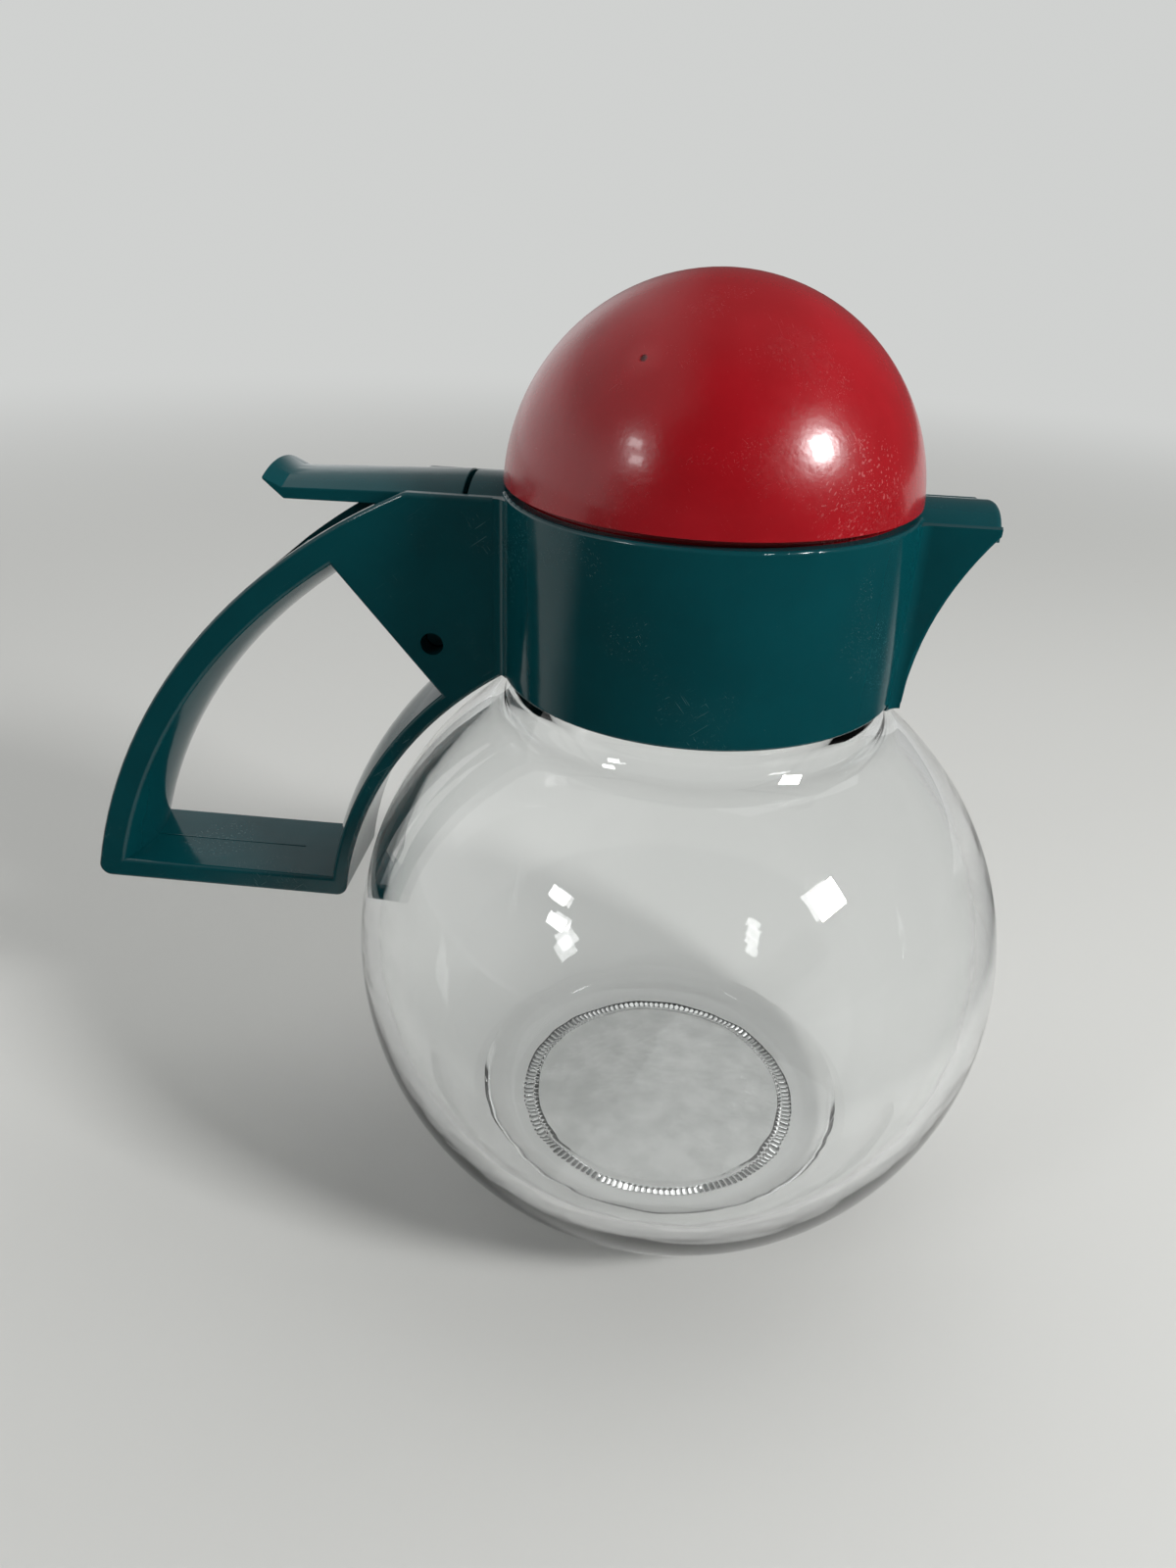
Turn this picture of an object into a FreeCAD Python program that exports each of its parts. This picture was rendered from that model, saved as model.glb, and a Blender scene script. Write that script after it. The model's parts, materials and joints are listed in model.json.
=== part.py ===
import FreeCAD, Part
import math
import os

# Glass condiment dispenser: a globe jar, a moulded collar with a looped handle and a spout,
# a thumb lever, a sliding gate over the spout and a domed cap. Millimetres, +Z up, +X towards
# the spout. Shapes are drawn about the jar's axis and moved at the end, so that the origin is
# under the middle of the whole object. Heights are measured from the table.

# Driving dimensions
globe_radius = 50.0
globe_flatness = 0.982
foot_cut = 9.0
glass_wall = 3.0
base_thickness = 7.0
foot_radius = 26.0
foot_land = 3.4
foot_recess = 0.8
neck_wall = 2.8
foot_round_reach = 5.0
foot_round_out = 2.9
foot_round_share = 0.36
neck_root_reach = 1.9
neck_root_rise = 2.4
neck_root_out = 0.55
neck_root_up = 0.85
bore_root_reach = 1.6
bore_root_out = 0.45
bore_root_up = 0.9
floor_round = 8.0

collar_radius = 27.75
collar_wall = 1.7
collar_height = 24.9
collar_sink = 2.9
ledge_width = 4.5
ledge_height = 2.0
ledge_below_top = 6.6
wing_step = 0.65

handle_width = 16.9
handle_reach = 92.6
grip_top_reach = 11.85
grip_bulge = 9.7
grip_thickness = 3.7
grip_crown = 2.2
arm_gap = 2.3
arm_shift = 3.2
arm_drop = 0.9
arm_thickness = 2.2
arm_crown = 1.35
bar_rise = 6.15
bar_thickness = 3.35
web_foot_reach = 7.525
web_angle_deg = 39.45
corner_round = 1.8
edge_round = 0.6
join_round = 2.0
rim_round = 0.45

channel_wall = 1.5
pocket_wall = 1.3
pocket_below_pivot = 3.6
pocket_bevel = 1.5
mouth_inset = 0.2
shelf_above_pivot = 12.6
mouth_drop = 3.6
pivot_drop = 20.55
pivot_inset = 4.06
pivot_hole_radius = 1.6
pivot_depth = 3.4
pivot_boss = 2.8
boss_radius = 2.6

strip_crown = 1.7
strip_depth = 1.8
lever_tail_crown = 1.3
lever_tail_depth = 1.4
strip_side_drop = 0.3
lever_length = 24.2
lever_nose_reach = 4.75
lever_droop_deg = 1.3
lip_rise = 1.35
lip_run = 2.6
lip_crown = 1.1
lip_edge = 0.3
stem_width = 8.0
stem_back_share = 0.7
hub_wall = 0.9

spout_overhang = 9.5
spout_foot_overhang = 0.3
spout_foot_drop = 0.7
spout_curve_radius = 38.9
spout_front_radius = 38.0
spout_foot_round = 1.0
gate_front_round = 0.8
strip_edge_round = 0.3
trough_depth = 1.8
trough_front_wall = 1.4
trough_side_wall = 1.0

dome_inset = 0.25
dome_rise = 1.0
dome_drop = 1.55
dome_wall = 2.0
spigot_wall = 1.6

# Clearances
neck_clearance = 0.45
strip_side_clearance = 0.33
strip_floor_clearance = 0.3
strip_cap_clearance = 0.35
seam_gap = 0.6
spigot_clearance = 0.3
pivot_clearance = 0.05
stem_clearance = 0.4

# How far a piece reaches into the one it is fused to
weld = 0.5

# Sizes that follow from them
globe_half_height = globe_radius * globe_flatness
globe_centre_z = globe_half_height - foot_cut
globe_top_z = globe_centre_z + globe_half_height
collar_bottom_z = globe_top_z - collar_sink
collar_top_z = collar_bottom_z + collar_height
collar_inner = collar_radius - collar_wall
neck_radius = collar_inner - neck_clearance
dome_radius = collar_radius - dome_inset
wing_top_z = collar_top_z - wing_step
ledge_top_z = collar_top_z - ledge_below_top
neck_top_z = ledge_top_z - ledge_height

half_width = handle_width / 2
channel_half = half_width - channel_wall
bar_bottom_z = globe_centre_z + bar_rise
bar_top_z = bar_bottom_z + bar_thickness
arm_radius = globe_radius + arm_gap + arm_shift
arm_centre = (arm_shift, globe_centre_z - arm_drop)

strip_half = channel_half - strip_side_clearance
strip_side_z = wing_top_z - strip_side_drop
strip_bottom_z = strip_side_z - strip_depth
strip_top_z = strip_side_z + strip_crown
sill_z = strip_bottom_z - strip_floor_clearance

pivot_z = wing_top_z - pivot_drop
spout_tip_x = collar_radius + spout_overhang
spout_foot_z = collar_bottom_z - spout_foot_drop
spout_foot_x = collar_radius + spout_foot_overhang
dome_bottom_z = collar_top_z + dome_rise
jar_x = (handle_reach - globe_radius) / 2
far = 200.0


def vec(x, z, y=0.0):
    return FreeCAD.Vector(x, y, z)


def line(a, b):
    return Part.makeLine(a, b)


def arc(a, middle, b):
    return Part.Arc(a, middle, b).toShape()


def circle_through(a, b, bulge):
    """Centre and radius of the arc from a to b that bulges to the left of that way."""
    chord = b - a
    half = chord.Length / 2
    radius = (half ** 2 + bulge ** 2) / (2 * bulge)
    left = vec(-chord.z, chord.x).normalize()
    centre = (a + b) * 0.5 - left * (radius - bulge)
    return (centre.x, centre.z), radius


def left_point(centre, radius, z):
    """Point of a circle at a height, on the side away from the spout."""
    cx, cz = centre
    return vec(cx - math.sqrt(radius ** 2 - (z - cz) ** 2), z)


def top_point(centre, radius, x):
    """Highest point of a circle at a distance from the axis."""
    cx, cz = centre
    return vec(x, cz + math.sqrt(radius ** 2 - (x - cx) ** 2))


def prism(points, half):
    """Closed polygon in the XZ plane, extruded to both sides of it."""
    corners = [vec(x, z, -half) for x, z in points]
    face = Part.Face(Part.makePolygon(corners + corners[:1]))
    return face.extrude(FreeCAD.Vector(0, 2 * half, 0))


def plate(edges, half):
    """Closed outline in the XZ plane, extruded to both sides of it."""
    face = Part.Face(Part.Wire(edges))
    face.translate(FreeCAD.Vector(0, -half, 0))
    return face.extrude(FreeCAD.Vector(0, 2 * half, 0))


def barrel(centre, edge_radius, middle_radius, half):
    """Solid of revolution about an axis along Y, whose radius changes from its edges to its middle."""
    cx, cz = centre
    reach = 1.5 * half
    end_radius = middle_radius + (edge_radius - middle_radius) * (reach / half) ** 2
    low = vec(cx, cz + end_radius, -reach)
    high = vec(cx, cz + end_radius, reach)
    edges = [
        arc(low, vec(cx, cz + middle_radius), high),
        line(high, vec(cx, cz, reach)),
        line(vec(cx, cz, reach), vec(cx, cz, -reach)),
        line(vec(cx, cz, -reach), low),
    ]
    return Part.Face(Part.Wire(edges)).revolve(vec(cx, cz), FreeCAD.Vector(0, 1, 0), 360)


def pin(x, z, radius, y_low, y_high):
    return Part.makeCylinder(radius, y_high - y_low, vec(x, z, y_low), FreeCAD.Vector(0, 1, 0))


def upright(radius, z_low, z_high, x=0.0):
    return Part.makeCylinder(radius, z_high - z_low, vec(x, z_low))


def ring(outer, inner, z_low, z_high):
    return upright(outer, z_low, z_high).cut(upright(inner, z_low, z_high))


def block(x_low, x_high, half, z_low, z_high):
    return Part.makeBox(x_high - x_low, 2 * half, z_high - z_low, vec(x_low, z_low, -half))


def revolved(edges):
    return Part.Face(Part.Wire(edges)).revolve(vec(0, 0), FreeCAD.Vector(0, 0, 1), 360)


def globe_point(across, up, radius, side):
    """Point of the globe's section at a radius, on its upper (+1) or lower (-1) half."""
    return vec(radius, globe_centre_z + side * up * math.sqrt(1 - (radius / across) ** 2))


def globe_arc(across, up, low, high):
    """Arc of the globe's section between two of its points, through its equator."""
    curve = Part.Ellipse(vec(across, globe_centre_z), vec(0, globe_centre_z + up), vec(0, globe_centre_z))
    return Part.ArcOfEllipse(curve, curve.parameter(low), curve.parameter(high)).toShape()


def edges_at_height(shape, z):
    return [e for e in shape.Edges if abs(e.BoundBox.ZMin - z) < 0.02 and abs(e.BoundBox.ZMax - z) < 0.02]


# Jar
def make_jar():
    outer_low = globe_point(globe_radius, globe_half_height, foot_radius + foot_round_reach, -1)
    outer_high = globe_point(globe_radius, globe_half_height, neck_radius + neck_root_reach, 1)
    neck_root = vec(neck_radius, outer_high.z + neck_root_rise)
    root_middle = vec(neck_radius + neck_root_out, outer_high.z + neck_root_up)
    foot_edge = vec(foot_radius, 0)
    foot_middle = vec(foot_radius + foot_round_out, outer_low.z * foot_round_share)
    land_inner = foot_radius - foot_land
    bore = neck_radius - neck_wall
    inner_across = globe_radius - glass_wall
    inner_up = globe_half_height - glass_wall
    floor_share = (globe_centre_z - base_thickness) / inner_up
    inner_low = vec(inner_across * math.sqrt(1 - floor_share ** 2), base_thickness)
    inner_high = globe_point(inner_across, inner_up, bore + bore_root_reach, 1)
    inner_root = vec(bore, inner_high.z + neck_root_rise)
    inner_middle = vec(bore + bore_root_out, inner_high.z + bore_root_up)
    lip = neck_wall / 2
    lip_outer = vec(neck_radius, neck_top_z - lip)
    lip_inner = vec(bore, neck_top_z - lip)
    edges = [
        line(vec(0, foot_recess), vec(land_inner - foot_recess, foot_recess)),
        line(vec(land_inner - foot_recess, foot_recess), vec(land_inner, 0)),
        line(vec(land_inner, 0), foot_edge),
        arc(foot_edge, foot_middle, outer_low),
        globe_arc(globe_radius, globe_half_height, outer_low, outer_high),
        arc(outer_high, root_middle, neck_root),
        line(neck_root, lip_outer),
        arc(lip_outer, vec(neck_radius - lip, neck_top_z), lip_inner),
        line(lip_inner, inner_root),
        arc(inner_root, inner_middle, inner_high),
        globe_arc(inner_across, inner_up, inner_low, inner_high),
        line(inner_low, vec(0, base_thickness)),
        line(vec(0, base_thickness), vec(0, foot_recess)),
    ]
    jar = revolved(edges)
    floor_rim = [e for e in edges_at_height(jar, base_thickness) if e.BoundBox.XMax > inner_low.x - 0.1]
    return jar.makeFillet(floor_round, floor_rim)


# Handle: one plate with a loop cut through it and a pocket for the lever
grip_low = vec(-handle_reach, bar_bottom_z)
grip_top = vec(-collar_radius - grip_top_reach, wing_top_z)
grip_centre, grip_radius = circle_through(grip_low, grip_top, grip_bulge)
web_foot = top_point(arm_centre, arm_radius + arm_thickness, -collar_radius - web_foot_reach)
web_angle = math.radians(web_angle_deg)
web_up = vec(-math.sin(web_angle), math.cos(web_angle))
web_in = vec(math.cos(web_angle), math.sin(web_angle))
pivot_way = (pivot_z - web_foot.z - pivot_inset * web_in.z) / web_up.z
pivot_x = web_foot.x + web_up.x * pivot_way + web_in.x * pivot_inset


def make_plate():
    grip_middle = left_point(grip_centre, grip_radius, (wing_top_z + bar_bottom_z) / 2)
    heel = left_point(arm_centre, arm_radius, bar_bottom_z)
    root = left_point(arm_centre, arm_radius, collar_bottom_z)
    arm_middle = left_point(arm_centre, arm_radius, (bar_bottom_z + collar_bottom_z) / 2)
    inside = -collar_inner / 2
    edges = [
        arc(grip_low, grip_middle, grip_top),
        line(grip_top, vec(inside, wing_top_z)),
        line(vec(inside, wing_top_z), vec(inside, collar_bottom_z)),
        line(vec(inside, collar_bottom_z), root),
        arc(root, arm_middle, heel),
        line(heel, grip_low),
    ]
    body = plate(edges, half_width)
    corners = [e for e in body.Edges if e.BoundBox.YLength > half_width and e.BoundBox.XMax < root.x - 1]
    return body.makeFillet(corner_round, corners)


def web_side(inset):
    """Everything on the far side of the web's slanted edge, set in by a wall."""
    start = web_foot + web_in * inset
    high = start + web_up * far
    low = start - web_up * far
    return prism([(high.x, high.z), (low.x, low.z), (-far, low.z), (-far, high.z)], half_width + 1)


def make_loop():
    edge = grip_radius - grip_thickness
    grip = barrel(grip_centre, edge, edge - grip_crown, half_width)
    edge = arm_radius + arm_thickness
    arm = barrel(arm_centre, edge, edge + arm_crown, half_width)
    above_bar = block(-far, 0, half_width + 1, bar_top_z, far)
    return grip.common(web_side(0)).common(above_bar).cut(arm)


def make_handle():
    body = make_plate().cut(make_loop())
    rims = [e for e in body.Edges if abs(abs(e.BoundBox.YMin) - half_width) < 0.05
            and e.BoundBox.YLength < 0.05 and e.BoundBox.XMin < -collar_radius]
    return body.makeFillet(edge_round, rims)


def make_pocket():
    """Room for the lever inside the web: open at the top, walled along the slanted edge."""
    start = web_foot + web_in * pocket_wall
    floor_z = pivot_z - pocket_below_pivot
    low = start + web_up * ((floor_z - start.z) / web_up.z)
    shelf = start + web_up * ((pivot_z + shelf_above_pivot - start.z) / web_up.z)
    mouth = left_point(grip_centre, grip_radius - mouth_inset, shelf.z - mouth_drop)
    wall_x = -collar_radius - pocket_wall
    points = [
        (low.x, low.z),
        (shelf.x, shelf.z),
        (mouth.x, mouth.z),
        (mouth.x, far),
        (wall_x, far),
        (wall_x, floor_z + pocket_bevel),
        (wall_x - pocket_bevel, floor_z),
    ]
    return prism(points, channel_half)


def with_pivot_bosses(body):
    boss_face = channel_half - pivot_boss
    for low, high in ((-half_width + weld, -boss_face), (boss_face, half_width - weld)):
        body = body.fuse(pin(pivot_x, pivot_z, boss_radius, low, high))
    return body.cut(pin(pivot_x, pivot_z, pivot_hole_radius, -half_width - 1, half_width + 1))


# Spout: a wedge with a concave front and a pouring trough
def make_spout():
    foot = vec(spout_foot_x, spout_foot_z)
    tip = vec(spout_tip_x, wing_top_z)
    chord = tip - foot
    sagitta = spout_curve_radius - math.sqrt(spout_curve_radius ** 2 - chord.Length ** 2 / 4)
    inward = vec(-chord.z, chord.x).normalize()
    inside = collar_inner / 2
    edges = [
        arc(foot, (foot + tip) * 0.5 + inward * sagitta, tip),
        line(tip, vec(inside, wing_top_z)),
        line(vec(inside, wing_top_z), vec(inside, spout_foot_z)),
        line(vec(inside, spout_foot_z), foot),
    ]
    wedge = plate(edges, half_width)
    foot_edge = [e for e in edges_at_height(wedge, spout_foot_z)
                 if e.BoundBox.YLength > half_width and e.BoundBox.XMin > collar_radius]
    wedge = wedge.makeFillet(spout_foot_round, foot_edge)
    rims = [e for e in wedge.Edges if e.BoundBox.YLength < 0.05 and e.BoundBox.XMax > collar_radius
            and e.BoundBox.ZMin < wing_top_z - 0.1]
    wedge = wedge.makeFillet(edge_round, rims)
    return wedge.common(upright(spout_front_radius, 0, far, spout_tip_x - spout_front_radius))


# Collar
def make_join(side_x, side_y, z_low):
    """Concave rounding where a flat side meets the collar: a filler less the rounding's cylinder."""
    centre_y = half_width + join_round
    centre_x = math.sqrt((collar_radius + join_round) ** 2 - centre_y ** 2)
    inner = (collar_radius - weld) / (collar_radius + join_round)
    points = [
        (centre_x, half_width - weld),
        (centre_x, centre_y),
        (centre_x * inner, centre_y * inner),
        (centre_x * inner, half_width - weld),
    ]
    corners = [FreeCAD.Vector(side_x * x, side_y * y, z_low) for x, y in points]
    height = wing_top_z - z_low
    filler = Part.Face(Part.makePolygon(corners + corners[:1])).extrude(FreeCAD.Vector(0, 0, height))
    hollow_place = FreeCAD.Vector(side_x * centre_x, side_y * centre_y, z_low - 1)
    return filler.cut(Part.makeCylinder(join_round, height + 2, hollow_place))


def make_collar():
    tube = upright(collar_radius, collar_bottom_z, collar_top_z)
    rims = [e for e in tube.Edges if e.BoundBox.ZLength < 0.01 and e.BoundBox.XLength > collar_radius]
    tube = tube.makeFillet(rim_round, rims)
    body = tube.fuse(make_spout()).fuse(make_handle())
    for side_y in (-1, 1):
        body = body.fuse(make_join(-1, side_y, collar_bottom_z))
        body = body.fuse(make_join(1, side_y, spout_foot_z))
    bore = upright(collar_inner, 0, far)
    body = body.cut(bore)
    ledge = ring(collar_inner + weld, collar_inner - ledge_width, ledge_top_z - ledge_height, ledge_top_z)
    body = body.fuse(ledge)
    body = body.cut(make_pocket())
    body = with_pivot_bosses(body)
    rear_notch = block(-collar_radius - 2 * pocket_wall, 0, channel_half, sill_z, far)
    front_notch = block(0, spout_tip_x + 1, channel_half, sill_z, far)
    trough_end = spout_tip_x - spout_front_radius
    trough = block(0, spout_tip_x, channel_half - trough_side_wall, sill_z - trough_depth, far)
    trough = trough.common(upright(spout_front_radius - trough_front_wall, 0, far, trough_end))
    return body.cut(rear_notch).cut(front_notch).cut(trough).removeSplitter()


# Strip: the crowned section shared by the lever and the gate
def strip_section(x, side_z, crown, depth):
    low = vec(x, side_z, -strip_half)
    high = vec(x, side_z, strip_half)
    base_low = vec(x, side_z - depth, -strip_half)
    base_high = vec(x, side_z - depth, strip_half)
    return Part.Wire([
        arc(low, vec(x, side_z + crown), high),
        line(high, base_high),
        line(base_high, base_low),
        line(base_low, low),
    ])


# Thumb lever
lever_nose_x = pivot_x + lever_nose_reach
lever_tail_x = lever_nose_x - lever_length
droop = math.radians(lever_droop_deg)
nose_rest_x = pivot_x + lever_nose_reach * math.cos(droop) - (strip_bottom_z - pivot_z) * math.sin(droop)


def long_upper_edges(strip):
    """The two long edges between a strip's crown and its sides."""
    return [e for e in strip.Edges if e.BoundBox.XLength > lever_length / 2
            and e.BoundBox.ZMin > strip_side_z - 0.1 and e.BoundBox.YLength < 0.1]


def make_lever_bar():
    """The bar that the thumb presses, thinner at its tail, with a lip turned up and outwards."""
    nose = strip_section(lever_nose_x, strip_side_z, strip_crown, strip_depth)
    tail = strip_section(lever_tail_x, strip_side_z, lever_tail_crown, lever_tail_depth)
    tip = strip_section(lever_tail_x - lip_run, strip_side_z + lip_rise, lip_crown, lip_edge)
    return Part.makeLoft([nose, tail], True, True).fuse(Part.makeLoft([tail, tip], True, True))


def make_lever():
    bar = make_lever_bar()
    hub = pivot_hole_radius + hub_wall
    stem_half = channel_half - pivot_boss - stem_clearance
    neck_z = strip_bottom_z + weld
    stem = prism([
        (pivot_x - hub, pivot_z),
        (pivot_x - stem_width * stem_back_share, neck_z),
        (pivot_x + stem_width * (1 - stem_back_share), neck_z),
        (pivot_x + hub, pivot_z),
    ], stem_half)
    hub_pin = pin(pivot_x, pivot_z, hub, -stem_half, stem_half)
    reach = half_width - pivot_depth
    trunnion = pin(pivot_x, pivot_z, pivot_hole_radius - pivot_clearance, -reach, reach)
    lever = bar.fuse(stem).fuse(hub_pin).fuse(trunnion).removeSplitter()
    lever.rotate(vec(pivot_x, pivot_z), FreeCAD.Vector(0, 1, 0), -lever_droop_deg)
    return lever


# Gate
def make_gate():
    section = Part.Face(strip_section(nose_rest_x + seam_gap, strip_side_z, strip_crown, strip_depth))
    strip = section.extrude(vec(spout_tip_x + 1 - nose_rest_x, 0))
    front_centre = spout_tip_x - spout_front_radius
    front = upright(spout_front_radius, 0, far, front_centre)
    gate = strip.common(front.fuse(block(-far, front_centre, half_width, 0, far)))
    lip = [e for e in gate.Edges if e.BoundBox.XMin > spout_foot_x
           and e.BoundBox.ZMax > strip_side_z + strip_crown / 2]
    gate = gate.makeFillet(gate_front_round, lip)
    return gate.makeFillet(strip_edge_round, long_upper_edges(gate))


# Domed cap
def make_dome():
    centre_z = dome_bottom_z - dome_drop
    outer_edge = math.sqrt(dome_radius ** 2 - dome_drop ** 2)
    inner_radius = dome_radius - dome_wall
    inner_edge = math.sqrt(inner_radius ** 2 - dome_drop ** 2)
    spigot_outer = collar_inner - spigot_clearance
    spigot_inner = spigot_outer - spigot_wall
    half_way = vec(math.sqrt(0.5), math.sqrt(0.5))
    centre = vec(0, centre_z)
    edges = [
        arc(vec(outer_edge, dome_bottom_z), centre + half_way * dome_radius, vec(0, centre_z + dome_radius)),
        line(vec(0, centre_z + dome_radius), vec(0, centre_z + inner_radius)),
        arc(vec(0, centre_z + inner_radius), centre + half_way * inner_radius, vec(inner_edge, dome_bottom_z)),
        line(vec(inner_edge, dome_bottom_z), vec(spigot_inner, dome_bottom_z)),
        line(vec(spigot_inner, dome_bottom_z), vec(spigot_inner, ledge_top_z)),
        line(vec(spigot_inner, ledge_top_z), vec(spigot_outer, ledge_top_z)),
        line(vec(spigot_outer, ledge_top_z), vec(spigot_outer, dome_bottom_z)),
        line(vec(spigot_outer, dome_bottom_z), vec(outer_edge, dome_bottom_z)),
    ]
    shell = revolved(edges)
    notch_top = strip_top_z + strip_cap_clearance
    notch = block(-far, far, strip_half + strip_side_clearance, 0, notch_top)
    return shell.cut(notch)


nodes = {
    "jar": make_jar(),
    "collar_handle": make_collar(),
    "thumb_lever": make_lever(),
    "spout_gate": make_gate(),
    "dome_cap": make_dome(),
}

os.makedirs("parts", exist_ok=True)
for name, shape in nodes.items():
    shape.translate(FreeCAD.Vector(jar_x, 0, 0))
    shape.exportStep(f"parts/{name}.step")
    print(name, "valid", shape.isValid(), "solids", len(shape.Solids), "volume", round(shape.Volume))
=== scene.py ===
import bpy
import bmesh
import json
import math
from mathutils import Matrix, Vector

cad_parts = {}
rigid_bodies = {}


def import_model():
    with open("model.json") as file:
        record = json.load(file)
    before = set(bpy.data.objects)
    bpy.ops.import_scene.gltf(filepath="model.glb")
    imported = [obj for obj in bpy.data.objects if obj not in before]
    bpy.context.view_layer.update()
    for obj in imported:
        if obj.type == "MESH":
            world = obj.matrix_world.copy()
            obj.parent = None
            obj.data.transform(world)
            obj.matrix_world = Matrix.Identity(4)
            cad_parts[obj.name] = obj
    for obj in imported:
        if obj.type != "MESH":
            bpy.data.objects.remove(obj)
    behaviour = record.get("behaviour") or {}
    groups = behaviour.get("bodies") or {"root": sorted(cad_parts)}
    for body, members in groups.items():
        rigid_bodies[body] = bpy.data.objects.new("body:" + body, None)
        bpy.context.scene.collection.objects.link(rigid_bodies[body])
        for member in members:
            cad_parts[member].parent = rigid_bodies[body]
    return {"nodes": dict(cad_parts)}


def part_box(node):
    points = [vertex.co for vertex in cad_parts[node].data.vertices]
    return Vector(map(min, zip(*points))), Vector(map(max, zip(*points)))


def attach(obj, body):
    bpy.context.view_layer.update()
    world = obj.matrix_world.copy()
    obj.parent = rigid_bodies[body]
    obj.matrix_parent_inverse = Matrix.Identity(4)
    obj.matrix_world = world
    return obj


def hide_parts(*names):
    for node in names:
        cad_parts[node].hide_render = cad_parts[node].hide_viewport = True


for leftover in list(bpy.data.objects):
    bpy.data.objects.remove(leftover)

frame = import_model()
bpy.context.view_layer.update()
cadNodes = frame["nodes"]
jarLow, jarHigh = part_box("jar")
jarX = (jarLow.x + jarHigh.x) / 2  # the jar's axis is upright through this x and y 0
mm = 0.001
print("frame loaded", sorted(cadNodes))


# camera: its place in metres, its heading, dip and tilt in degrees, its lens and sensor in mm
viewpoint = {
    "aside": -0.00241, "back": -0.14647, "up": 0.14562,
    "heading": -4.82, "dip": 28.61, "tilt": -2.32,
    "lens": 24.95, "sensor": 36, "clipStart": 0.005,
}

cameraData = bpy.data.cameras.new("camera")
cameraData.lens = viewpoint["lens"]
cameraData.sensor_width = viewpoint["sensor"]
cameraData.clip_start = viewpoint["clipStart"]
camera = bpy.data.objects.new("camera", cameraData)
bpy.context.scene.collection.objects.link(camera)
camera.matrix_world = (
    Matrix.Translation((jarX + viewpoint["aside"], viewpoint["back"], viewpoint["up"]))
    @ Matrix.Rotation(math.radians(-viewpoint["heading"]), 4, "Z")
    @ Matrix.Rotation(math.radians(90 - viewpoint["dip"]), 4, "X")
    @ Matrix.Rotation(math.radians(-viewpoint["tilt"]), 4, "Z")
)
bpy.context.scene.camera = camera


class Wire:
    # a node's output that can be used in sums
    def __init__(self, look, socket):
        self.look = look
        self.socket = socket

    def maths(self, operation, first, second):
        return self.look.node("ShaderNodeMath", {"operation": operation}, {0: first, 1: second})

    def __add__(self, other):
        return self.maths("ADD", self, other)

    def __radd__(self, other):
        return self.maths("ADD", other, self)

    def __sub__(self, other):
        return self.maths("SUBTRACT", self, other)

    def __rsub__(self, other):
        return self.maths("SUBTRACT", other, self)

    def __mul__(self, other):
        return self.maths("MULTIPLY", self, other)

    def __rmul__(self, other):
        return self.maths("MULTIPLY", other, self)

    def above(self, low, high):
        # 0 below low, 1 above high, smooth between them
        limits = {"Value": self, "From Min": low, "From Max": high}
        return self.look.node("ShaderNodeMapRange", {"interpolation_type": "SMOOTHSTEP"}, limits)


class Look:
    # a material or the world, with one method that adds any node
    def __init__(self, name, owner=None):
        self.owner = owner or bpy.data.materials.new(name)
        self.owner.use_nodes = True
        self.tree = self.owner.node_tree
        self.tree.nodes.clear()

    def node(self, kind, settings=None, sockets=None, out=0):
        made = self.tree.nodes.new(kind)
        for key, value in (settings or {}).items():
            setattr(made, key, value)
        for key, value in (sockets or {}).items():
            if isinstance(value, Wire):
                self.tree.links.new(value.socket, made.inputs[key])
            else:
                made.inputs[key].default_value = value
        return Wire(self, made.outputs[out])

    def surface(self, shader):
        isWorld = isinstance(self.owner, bpy.types.World)
        end = self.tree.nodes.new("ShaderNodeOutputWorld" if isWorld else "ShaderNodeOutputMaterial")
        self.tree.links.new(shader.socket, end.inputs["Surface"])
        return self.owner

    def place(self):
        return self.node("ShaderNodeTexCoord", None, None, "Object")

    def part(self, where, axis):
        return self.node("ShaderNodeSeparateXYZ", None, {0: where}, axis)

    def length(self, where):
        return self.node("ShaderNodeVectorMath", {"operation": "LENGTH"}, {0: where}, "Value")

    def moved(self, where, step):
        return self.node("ShaderNodeMapping", None, {"Vector": where, "Location": step})

    def stretched(self, where, stretch):
        return self.node("ShaderNodeMapping", None, {"Vector": where, "Scale": stretch})

    def turned(self, where, degrees):
        turns = [math.radians(d) for d in degrees]
        return self.node("ShaderNodeMapping", None, {"Vector": where, "Rotation": turns})

    def noise(self, where, scale, detail, roughness):
        sockets = {"Vector": where, "Scale": scale, "Detail": detail, "Roughness": roughness}
        return self.node("ShaderNodeTexNoise", None, sockets)

    def near(self, where, centre, full, none):
        # 1 within a distance of a point, 0 beyond a larger one
        ends = {0: where, 1: centre}
        distance = self.node("ShaderNodeVectorMath", {"operation": "DISTANCE"}, ends, "Value")
        return 1 - distance.above(full, none)

    def scratches(self, where, degrees, length, pitch, rarity):
        # thin streaks: 1 on a streak and 0 elsewhere, with a slightly soft edge
        thin = (1 / length, 1 / pitch, 1 / pitch)
        softness = 0.03
        streak = self.noise(self.stretched(self.turned(where, degrees), thin), 1.0, 1.0, 0.4)
        return streak.above(rarity, rarity + softness)

    def blend(self, share, first, second):
        return self.node("ShaderNodeMix", {"data_type": "RGBA"}, {0: share, 6: first, 7: second}, 2)

    def mixed(self, share, first, second):
        return self.node("ShaderNodeMixShader", None, {0: share, 1: first, 2: second})

    def glow(self, colour):
        return self.node("ShaderNodeEmission", None, {"Color": colour})

    def bump(self, height, strength=1.0):
        # heights are in mm
        return self.node("ShaderNodeBump", None, {"Height": height, "Distance": mm, "Strength": strength})


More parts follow.
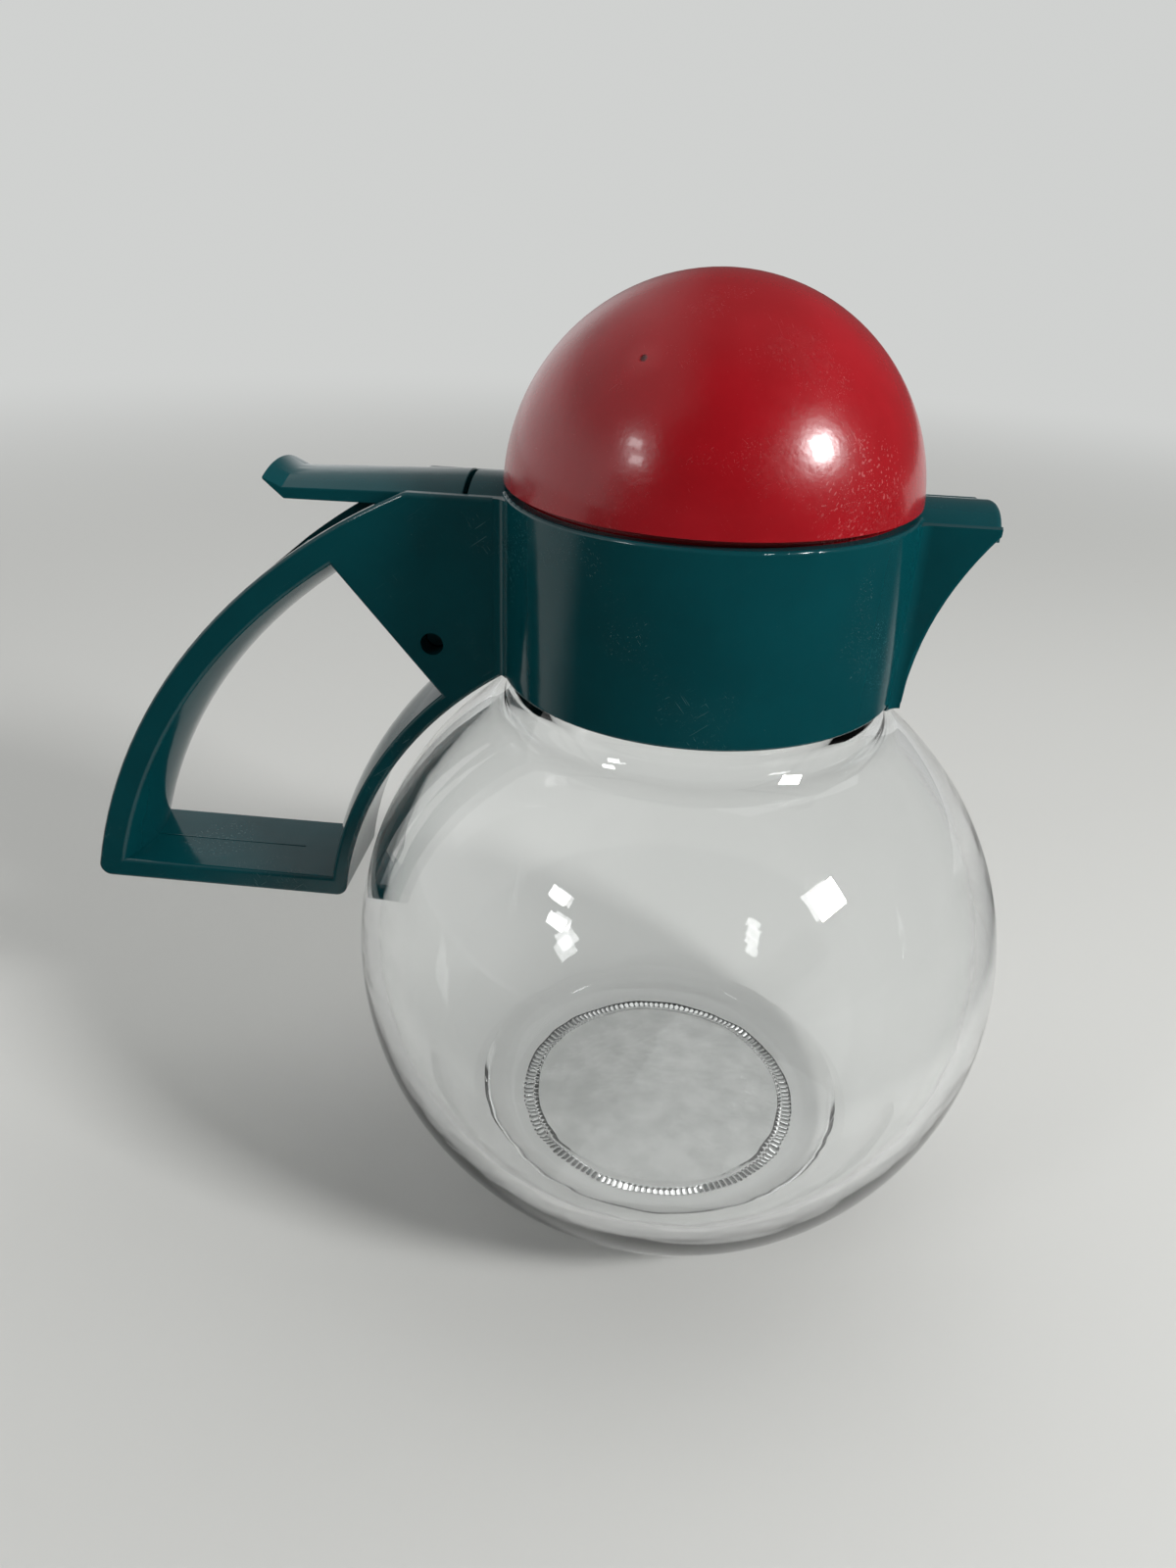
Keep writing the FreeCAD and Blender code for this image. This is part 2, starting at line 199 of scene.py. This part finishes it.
# what both plastics share, in metres and in shares of 1
# strokes are their lie in degrees, length, pitch and rarity, and a scratch's rarity adds to the finish's own
plasticWear = {
    "ior": 1.5,
    "cloudSpread": (0.35, 0.7),
    "scratches": [
        ((20, 35, 10), 9 * mm, 0.16 * mm, 0.0),
        ((-40, 15, 70), 7 * mm, 0.13 * mm, 0.0),
        ((75, -25, 130), 5 * mm, 0.12 * mm, 0.01),
    ],
    "freshShare": 0.25,
    "scratchTint": 0.35,
    "scratchRoughness": 0.25,
    "strokes": ((60, 10, 40), 7 * mm, 0.35 * mm, 0.65),
    "strokesFull": 2 * mm,
    "hazeFull": 0.3 * mm,
    "hazeTint": 0.12,
    "nickFull": 0.2 * mm,
    "nickDepth": 0.3,
    "grainRoughness": 0.06,
}


def mouldedPlastic(name, finish):
    # glossy moulded plastic: faint mottling, orange peel, fine scratches, scuffed patches and a nick
    look = Look(name)
    wear = plasticWear
    where = look.place()
    cloud = look.noise(where, *finish["cloud"]).above(*wear["cloudSpread"])
    grain = look.noise(where, *finish["grain"])
    peel = look.noise(where, *finish["peel"])
    scuffed = look.noise(where, *finish["scuff"]).above(*finish["scuffSpread"])
    lines = sum(
        look.scratches(where, degrees, length, pitch, finish["scratchRarity"] + rarer)
        for degrees, length, pitch, rarer in wear["scratches"]
    )
    lines = (lines * (wear["freshShare"] + scuffed * (1 - wear["freshShare"]))).above(0.0, 1.0)
    spot = look.near(where, finish["wornPlace"], wear["strokesFull"], finish["wornReach"])
    lines = (lines + spot * look.scratches(where, *wear["strokes"])).above(0.0, 1.0)
    haze = look.near(where, finish["nickPlace"], wear["hazeFull"], finish["hazeReach"])
    nick = look.near(where, finish["nickPlace"], wear["nickFull"], finish["nickReach"])
    tone = look.blend(cloud, finish["colour"], finish["paleColour"])
    tone = look.blend(lines * wear["scratchTint"], tone, finish["wornColour"])
    tone = look.blend(haze * wear["hazeTint"], tone, finish["wornColour"])
    tone = look.blend(nick, tone, finish["nickColour"])
    rough = finish["roughness"] + scuffed * finish["scuffRoughness"]
    rough = rough + lines * wear["scratchRoughness"] + (grain - 0.5) * wear["grainRoughness"]
    height = peel * finish["peelHeight"] + grain * finish["grainHeight"]
    height = height - lines * finish["scratchDepth"] - nick * wear["nickDepth"]
    shader = look.node(
        "ShaderNodeBsdfPrincipled", None,
        {
            "Base Color": tone,
            "Roughness": rough,
            "IOR": wear["ior"],
            "Coat Weight": finish["coat"],
            "Coat Roughness": finish["coatRoughness"],
            "Normal": look.bump(height),
        },
    )
    return look.surface(shader)


# colours are linear, places and reaches in metres, heights in mm; a noise is its scale, detail and roughness
tealFinish = {
    "colour": (0.0008, 0.048, 0.057, 1),
    "paleColour": (0.001, 0.055, 0.065, 1),
    "wornColour": (0.09, 0.2, 0.21, 1),
    "nickColour": (0.0005, 0.02, 0.024, 1),
    "roughness": 0.11,
    "coat": 0.0,
    "coatRoughness": 0.06,
    "cloud": (60, 4.0, 0.6),
    "grain": (1800, 2.0, 0.5),
    "grainHeight": 0.004,
    "peel": (240, 1.0, 0.4),
    "peelHeight": 0.035,
    "scuff": (45, 3.0, 0.65),
    "scuffSpread": (0.5, 0.72),
    "scuffRoughness": 0.1,
    "scratchRarity": 0.71,
    "scratchDepth": 0.01,
    "wornPlace": (jarX - 0.075, 0, 0.05),
    "wornReach": 9 * mm,
    "nickPlace": (jarX + 0.0271, -0.006, 0.1005),
    "nickReach": 0.3 * mm,
    "hazeReach": 0.6 * mm,
}
redFinish = {
    "colour": (0.3, 0.0006, 0.005, 1),
    "paleColour": (0.37, 0.0025, 0.009, 1),
    "wornColour": (0.62, 0.12, 0.12, 1),
    "nickColour": (0.06, 0.0005, 0.001, 1),
    "roughness": 0.24,
    "coat": 0.25,
    "coatRoughness": 0.08,
    "cloud": (50, 4.0, 0.6),
    "grain": (1300, 2.0, 0.5),
    "grainHeight": 0.02,
    "peel": (260, 1.0, 0.4),
    "peelHeight": 0.03,
    "scuff": (70, 3.0, 0.65),
    "scuffSpread": (0.52, 0.7),
    "scuffRoughness": 0.05,
    "scratchRarity": 0.7,
    "scratchDepth": 0.012,
    "wornPlace": (jarX + 0.018, -0.0203, 0.1151),
    "wornReach": 11 * mm,
    "nickPlace": (jarX - 0.0091, -0.0179, 0.1296),
    "nickReach": 0.6 * mm,
    "hazeReach": 3.2 * mm,
}
tealPlastic = mouldedPlastic("tealPlastic", tealFinish)
redPlastic = mouldedPlastic("redPlastic", redFinish)


# jar: lengths in mm, heights from the table, radii from the jar's axis
jarSizes = {
    "globeRadius": 50.0, "globeHalfHeight": 49.1, "globeCentre": 40.1, "wall": 3.0, "bowlHalfHeight": 45.0,
    "footRadius": 26.0, "footReach": 6.4, "footRound": 3.1, "footRecess": 0.8,
    "floor": 7.0, "floorReach": 3.0, "floorLoops": (0.6, 1.8),
    "neckRadius": 25.6, "neckWall": 2.8, "neckTop": 102.6, "lipShare": 0.97,
    "rootReach": 4.2, "rootRound": 4.8, "boreRootReach": 2.0, "boreRootRound": 2.2,
    "knurlOuter": 24.5, "knurlInner": 22.6, "knurlDepth": 0.45, "knurlSlope": 0.3, "knurlEdge": 0.1,
}
# how finely the jar is divided: round its axis, along its arcs and round its corners
jarSteps = {"turns": 294, "outerArc": 90, "innerArc": 84, "lip": 6, "foot": 10, "root": 10, "boreRoot": 8}

# noises and heights are given as for the plastics, and a mark as a stroke is there
glassFinish = {
    "colour": (0.985, 0.992, 0.988, 1), "baseColour": (0.74, 0.76, 0.75, 1),
    # the dark colour of the knurls' grooves is painted shade
    "grooveShadeColour": (0.04, 0.045, 0.045, 1), "ior": 1.5,
    "wave": (42, 2.0, 0.5), "waveHeight": 0.16,
    "ripple": (120, 1.0, 0.4), "rippleHeight": 0.03, "rippleStretch": (1, 1, 2.2),
    "stipple": (700, 2.0, 0.6), "stippleHeight": 0.12,
    "lump": (170, 3.0, 0.6), "lumpHeight": 0.35, "lumpSpread": (0.3, 0.7),
    "mark": ((30, 60, 20), 5 * mm, 0.14 * mm, 0.74), "markRoughness": 0.12,
    "roughness": 0.01, "discRoughness": 0.04, "relief": 0.6,
    "baseTop": (1.0 * mm, 1.6 * mm),  # the stipple and the dust end over these heights
    "discInset": (1.0, 0.2),  # the stipple ends this many mm inside the knurls' inner rim
    "grooveShadeInset": (-0.1, 0.2),  # the painted shade begins this many mm into the knurls, from either rim
    "grooveShadeHeight": (0.06 * mm, 0.3 * mm),  # the painted shade lies up in the grooves, over these heights
}


def jarGlass():
    # clear pressed glass: wavy outside, stippled under the base, with painted shade in the knurls' grooves
    look = Look("jarGlass")
    finish = glassFinish
    where = look.place()
    knurlIn = jarSizes["knurlInner"]
    knurlOut = jarSizes["knurlOuter"]
    discFrom, discTo = finish["discInset"]
    shadeFrom, shadeTo = finish["grooveShadeInset"]
    height = look.part(where, "Z")
    radius = look.length(look.stretched(look.moved(where, (-jarX, 0, 0)), (1, 1, 0)))
    under = 1 - height.above(*finish["baseTop"])
    disc = under * (1 - radius.above((knurlIn - discFrom) * mm, (knurlIn - discTo) * mm))
    # painted shade: the knurls' grooves are tinted dark
    grooveShade = under * radius.above((knurlIn + shadeFrom) * mm, (knurlIn + shadeTo) * mm)
    grooveShade = grooveShade * (1 - radius.above((knurlOut - shadeTo) * mm, (knurlOut - shadeFrom) * mm))
    grooveShade = grooveShade * height.above(*finish["grooveShadeHeight"])
    wave = look.noise(where, *finish["wave"])
    ripple = look.noise(look.stretched(where, finish["rippleStretch"]), *finish["ripple"])
    marks = look.scratches(where, *finish["mark"])
    stipple = look.noise(where, *finish["stipple"])
    lump = look.noise(where, *finish["lump"])
    tone = look.blend(disc * lump.above(*finish["lumpSpread"]), finish["colour"], finish["baseColour"])
    tone = look.blend(grooveShade, tone, finish["grooveShadeColour"])
    relief = wave * finish["waveHeight"] + ripple * finish["rippleHeight"]
    relief = relief + disc * (stipple * finish["stippleHeight"] + lump * finish["lumpHeight"])
    rough = finish["roughness"] + marks * finish["markRoughness"] + disc * finish["discRoughness"]
    shader = look.node(
        "ShaderNodeBsdfPrincipled", None,
        {
            "Base Color": tone,
            "Roughness": rough,
            "IOR": finish["ior"],
            "Transmission Weight": 1.0,
            "Normal": look.bump(relief, finish["relief"]),
        },
    )
    return look.surface(shader)


clearGlass = jarGlass()
print("materials made")


def smoothed(bm, name, material, crisp=25):
    # a finished bmesh becomes a piece, smooth but for the edges that turn by more than some degrees
    bmesh.ops.remove_doubles(bm, verts=bm.verts, dist=1e-6)
    bmesh.ops.recalc_face_normals(bm, faces=bm.faces)
    mesh = bpy.data.meshes.new(name)
    for face in bm.faces:
        face.smooth = True
    for edge in bm.edges:
        edge.smooth = edge.calc_face_angle(0.0) < math.radians(crisp)
    bm.to_mesh(mesh)
    bm.free()
    mesh.materials.append(material)
    piece = bpy.data.objects.new(name, mesh)
    bpy.context.scene.collection.objects.link(piece)
    return piece


def globeArc(bm, across, downHalf, upHalf, lowRadius, highRadius, steps):
    # an arc of the globe's section from a low radius to a high one, through its widest point
    centre = Vector((0, 0, jarSizes["globeCentre"]))
    lowTurn = math.acos(lowRadius / across)
    highTurn = math.acos(highRadius / across)
    start = bm.verts.new((across * math.cos(lowTurn), 0, centre.z - across * math.sin(lowTurn)))
    made = bmesh.ops.spin(
        bm, geom=[start], cent=centre, axis=(0, -1, 0), angle=lowTurn + highTurn, steps=steps, use_merge=False
    )
    end = [v for v in made["geom_last"] if isinstance(v, bmesh.types.BMVert)][0]
    below = [v for v in bm.verts if v.co.z < centre.z]
    above = [v for v in bm.verts if v.co.z >= centre.z]
    bmesh.ops.scale(bm, vec=(1, 1, downHalf / across), space=Matrix.Translation(-centre), verts=below)
    bmesh.ops.scale(bm, vec=(1, 1, upHalf / across), space=Matrix.Translation(-centre), verts=above)
    return start, end


def steepness(across, half, radius):
    # how fast the globe's section rises at a radius
    share = radius / across
    return half / across * share / math.sqrt(1 - share ** 2)


def addCorners(bm, start, points):
    # straight runs on from a vertex; each point is (radius, height)
    last = start
    made = []
    for radius, height in points:
        vert = bm.verts.new((radius, 0, height))
        bm.edges.new((last, vert))
        last = vert
        made.append(vert)
    return made


def roundCorner(bm, vert, offset, segments):
    bmesh.ops.bevel(
        bm, geom=[vert], offset=offset, offset_type="OFFSET", segments=segments, profile=0.5,
        affect="VERTICES", material=-1,
    )


def addNeck(bm, shoulder, radius, reach, rootRound, rootSteps, rise):
    # from the globe's shoulder up the neck's side to the middle of its lip
    size = jarSizes
    lip = size["neckWall"] / 2
    root, rim, _ = addCorners(bm, shoulder, [
        (radius, shoulder.co.z + reach * rise),
        (radius, size["neckTop"]),
        (size["neckRadius"] - lip, size["neckTop"]),
    ])
    roundCorner(bm, rim, lip * size["lipShare"], jarSteps["lip"])
    roundCorner(bm, root, rootRound, rootSteps)


def jarOutside():
    # half of the jar's outer section, in mm: the foot with its knurls, the globe and the neck
    size = jarSizes
    across = size["globeRadius"]
    half = size["globeHalfHeight"]
    lowRadius = size["footRadius"] + size["footReach"]
    highRadius = size["neckRadius"] + size["rootReach"]
    bm = bmesh.new()
    low, high = globeArc(bm, across, half, half, lowRadius, highRadius, jarSteps["outerArc"])
    foot = addCorners(bm, low, [
        (lowRadius - low.co.z / steepness(across, half, lowRadius), 0.0),
        (size["knurlOuter"], 0.0),
        (size["knurlOuter"] - size["knurlSlope"], 0.0),
        (size["knurlInner"] + size["knurlSlope"], 0.0),
        (size["knurlInner"], 0.0),
        (size["knurlInner"] - size["footRecess"], size["footRecess"]),
        (size["knurlInner"] - 2 * size["footRecess"], size["footRecess"]),
        (0.0, size["footRecess"]),
    ])
    rise = steepness(across, half, highRadius)
    addNeck(bm, high, size["neckRadius"], size["rootReach"], size["rootRound"], jarSteps["root"], rise)
    roundCorner(bm, foot[0], size["footRound"], jarSteps["foot"])
    return bm


def jarInside():
    # half of the jar's inner section, in mm: the floor, the bowl and the bore
    size = jarSizes
    across = size["globeRadius"] - size["wall"]
    half = size["globeHalfHeight"] - size["wall"]
    bowl = size["bowlHalfHeight"]
    bore = size["neckRadius"] - size["neckWall"]
    floorShare = (size["globeCentre"] - size["floor"]) / bowl
    lowRadius = across * math.sqrt(1 - floorShare ** 2)
    highRadius = bore + size["boreRootReach"]
    bm = bmesh.new()
    low, high = globeArc(bm, across, bowl, half, lowRadius, highRadius, jarSteps["innerArc"])
    rise = steepness(across, half, highRadius)
    flat = low.co.x - size["floorReach"]
    loops = [(flat - loop, size["floor"]) for loop in size["floorLoops"]]
    addCorners(bm, low, [*loops, (0.0, size["floor"])])
    addNeck(bm, high, bore, size["boreRootReach"], size["boreRootRound"], jarSteps["boreRoot"], rise)
    return bm


def cutKnurls(bm):
    # every second spoke of the ring under the foot is a groove
    step = math.tau / jarSteps["turns"]
    inner = jarSizes["knurlInner"] + jarSizes["knurlEdge"]
    outer = jarSizes["knurlOuter"] - jarSizes["knurlEdge"]
    for vert in bm.verts:
        onFoot = vert.co.z < jarSizes["knurlDepth"] / 2
        inRing = inner < math.hypot(vert.co.x, vert.co.y) < outer
        spoke = round(math.atan2(vert.co.y, vert.co.x) / step)
        if onFoot and inRing and spoke % 2:
            vert.co.z += jarSizes["knurlDepth"]


def makeJar():
    # both sections are joined at the lip and spun round the axis
    bm = bmesh.new()
    for section in (jarOutside(), jarInside()):
        sheet = bpy.data.meshes.new("profile")
        section.to_mesh(sheet)
        section.free()
        bm.from_mesh(sheet)
        bpy.data.meshes.remove(sheet)
    bmesh.ops.remove_doubles(bm, verts=bm.verts, dist=1e-4)
    bmesh.ops.spin(
        bm, geom=bm.verts[:] + bm.edges[:], cent=(0, 0, 0), axis=(0, 0, 1), angle=math.tau,
        steps=jarSteps["turns"], use_merge=True,
    )
    bmesh.ops.remove_doubles(bm, verts=bm.verts, dist=1e-4)
    cutKnurls(bm)
    bmesh.ops.scale(bm, vec=(mm, mm, mm), verts=bm.verts)
    bmesh.ops.translate(bm, vec=(jarX, 0, 0), verts=bm.verts)
    jar = smoothed(bm, "jarGlass", clearGlass)
    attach(jar, "dispenser")
    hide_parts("jar")


makeJar()
print("jar made")


def dress(node, material):
    # a CAD node keeps its shape and takes a finished material
    for slot in cadNodes[node].material_slots:
        slot.material = material


for node in ("collar_handle", "spout_gate"):
    dress(node, tealPlastic)
dress("dome_cap", redPlastic)
print("plastic dressed")


# edges that turn by more than some degrees are rounded; vertices nearer than merge become one
leverEdges = {"round": 0.35 * mm, "segments": 3, "overAngle": 32, "merge": 2e-6, "flatAngle": 0.5}


def makeLever():
    # a merged copy of the lever, with the soft edges of a moulding
    edges = leverEdges
    bm = bmesh.new()
    bm.from_mesh(cadNodes["thumb_lever"].data)
    bmesh.ops.remove_doubles(bm, verts=bm.verts, dist=edges["merge"])
    bmesh.ops.dissolve_limit(bm, angle_limit=math.radians(edges["flatAngle"]), verts=bm.verts, edges=bm.edges)
    lever = smoothed(bm, "thumbLever", tealPlastic)
    bevel = lever.modifiers.new("edges", "BEVEL")
    bevel.width = edges["round"]
    bevel.segments = edges["segments"]
    bevel.limit_method = "ANGLE"
    bevel.angle_limit = math.radians(edges["overAngle"])
    bevel.harden_normals = True
    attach(lever, "lever")
    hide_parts("thumb_lever")


makeLever()
print("lever made")


# in metres: it runs along x at the height of the bar's top, and half of it is sunk in
partingLine = {
    "from": -0.0655, "to": -0.0395, "barTop": 0.0496,
    "width": 0.22 * mm, "proud": 0.07 * mm, "round": 0.03 * mm,
}


def makePartingLine():
    # flash left along the middle of the bar's top, where the mould's halves met
    line = partingLine
    length = line["to"] - line["from"]
    bm = bmesh.new()
    bmesh.ops.create_cube(bm, size=1.0)
    bmesh.ops.scale(bm, vec=(length, line["width"], line["proud"] * 2), verts=bm.verts)
    bmesh.ops.translate(bm, vec=(line["from"] + length / 2, 0, line["barTop"]), verts=bm.verts)
    bmesh.ops.bevel(
        bm, geom=bm.edges[:], offset=line["round"], offset_type="OFFSET", segments=2, profile=0.5,
        affect="EDGES", material=-1,
    )
    piece = smoothed(bm, "partingLine", tealPlastic)
    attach(piece, "dispenser")


makePartingLine()
print("parting line made")


# studio: lamps are set round the jar's axis by direction, height and distance; only the windows are reflected
windows = [
    {"name": "windowRight", "turn": 63, "rise": 31.7, "away": 0.75, "size": (0.14, 0.12), "power": 4.7},
    {"name": "windowLeftTop", "turn": -48, "rise": 32.7, "away": 1.0, "size": (0.12, 0.07), "power": 0.5},
    {"name": "windowLeftLow", "turn": -44, "rise": 25.6, "away": 1.0, "size": (0.12, 0.07), "power": 0.5},
]
panels = [
    {"name": "skyPanel", "turn": 150, "rise": 62, "away": 1.0, "size": (0.9, 0.9), "power": 2.4},
    {"name": "wallLeft", "turn": -118, "rise": 34, "away": 1.1, "size": (0.8, 0.9), "power": 0.6},
]
aimHeight = 0.075


def makeLamp(lamp):
    data = bpy.data.lights.new(lamp["name"], "AREA")
    data.shape = "RECTANGLE"
    data.size, data.size_y = lamp["size"]
    data.energy = lamp["power"]
    turn = math.radians(lamp["turn"])
    rise = math.radians(lamp["rise"])
    way = Vector((math.sin(turn) * math.cos(rise), -math.cos(turn) * math.cos(rise), math.sin(rise)))
    holder = bpy.data.objects.new(lamp["name"], data)
    bpy.context.scene.collection.objects.link(holder)
    holder.visible_glossy = lamp in windows
    holder.location = Vector((jarX, 0, aimHeight)) + way * lamp["away"]
    holder.rotation_euler = (-way).to_track_quat("-Z", "Y").to_euler()


for lamp in windows + panels:
    makeLamp(lamp)


# lengths in metres; a fade is where something starts and where it is full
stage = {
    "floorColour": (0.62, 0.62, 0.6, 1), "floorRoughness": 0.5, "backColour": (0.63, 0.64, 0.63, 1),
    "roomColour": (0.05, 0.052, 0.055, 1), "clearColour": (0.36, 0.37, 0.37, 1),
    "frontColour": (0.03, 0.032, 0.034, 1), "shadeColour": (0.09, 0.09, 0.09, 1),
    "wallColour": (0.9, 0.9, 0.9, 1), "throughColour": (0.66, 0.67, 0.66, 1), "throughShare": 0.36,
    "floorRadius": 4.0, "floorSides": 96, "floorDrop": 0.02 * mm,
    "floorFade": (0.35, 0.9), "tableEdge": (0.1, 0.14), "edgeSlant": 0.5, "edgeBack": (0.0, 0.12),
    "backFade": (-0.5, 0.2), "wallFade": (-0.75, -0.45), "leftFade": (0.0, 0.4),
    "topFade": (0.25, 0.55), "topDim": 0.55,
}


def seenBy(look, kind):
    # 1 for this kind of ray and 0 for the rest
    return look.node("ShaderNodeLightPath", None, None, kind)


def makeFloor():
    bm = bmesh.new()
    bmesh.ops.create_circle(bm, cap_ends=True, segments=stage["floorSides"], radius=stage["floorRadius"])
    bmesh.ops.translate(bm, vec=(jarX, 0, -stage["floorDrop"]), verts=bm.verts)
    look = Look("floor")
    spot = look.moved(look.place(), (-jarX, 0, 0))
    distance = look.length(spot)
    throughGlass = seenBy(look, "Is Transmission Ray")
    matt = look.node(
        "ShaderNodeBsdfPrincipled", None,
        {"Base Color": stage["floorColour"], "Roughness": stage["floorRoughness"]},
    )
    shader = look.mixed(distance.above(*stage["floorFade"]), matt, look.glow(stage["backColour"]))
    # in reflections the table ends a little way in front, and the room beyond it is dark
    behind = look.part(spot, "Y") - look.part(spot, "X") * stage["edgeSlant"]
    beyond = distance.above(*stage["tableEdge"]) * (1 - behind.above(*stage["edgeBack"]))
    beyond = beyond * seenBy(look, "Is Glossy Ray") * (1 - throughGlass)
    shader = look.mixed(beyond, shader, look.glow(stage["frontColour"]))
    # glass lets light through to the table under it
    shader = look.mixed(throughGlass * stage["throughShare"], shader, look.glow(stage["throughColour"]))
    smoothed(bm, "floor", look.surface(shader))


def makeWorld():
    world = bpy.data.worlds.new("studio")
    bpy.context.scene.world = world
    look = Look("studio", world)
    direction = look.node("ShaderNodeTexCoord", None, None, "Generated")
    ahead = look.part(direction, "Y")
    aside = look.part(direction, "X")
    up = look.part(direction, "Z")
    behind = ahead.above(*stage["backFade"])
    room = look.blend(behind, stage["roomColour"], stage["backColour"])
    # in reflections only the wall to the left and behind is bright
    wall = ahead.above(*stage["wallFade"]) * (0 - aside).above(*stage["leftFade"])
    wall = wall * (1 - up.above(*stage["topFade"]) * stage["topDim"])
    shine = look.blend(wall, stage["shadeColour"], stage["wallColour"])
    room = look.blend(seenBy(look, "Is Glossy Ray"), room, shine)
    clear = look.blend(behind, stage["clearColour"], stage["backColour"])
    room = look.blend(seenBy(look, "Is Transmission Ray"), room, clear)
    colour = look.blend(seenBy(look, "Is Camera Ray"), room, stage["backColour"])
    look.surface(look.node("ShaderNodeBackground", None, {"Color": colour, "Strength": 1.0}))


makeFloor()
makeWorld()
bpy.context.scene.view_settings.view_transform = "Standard"
print("studio made")
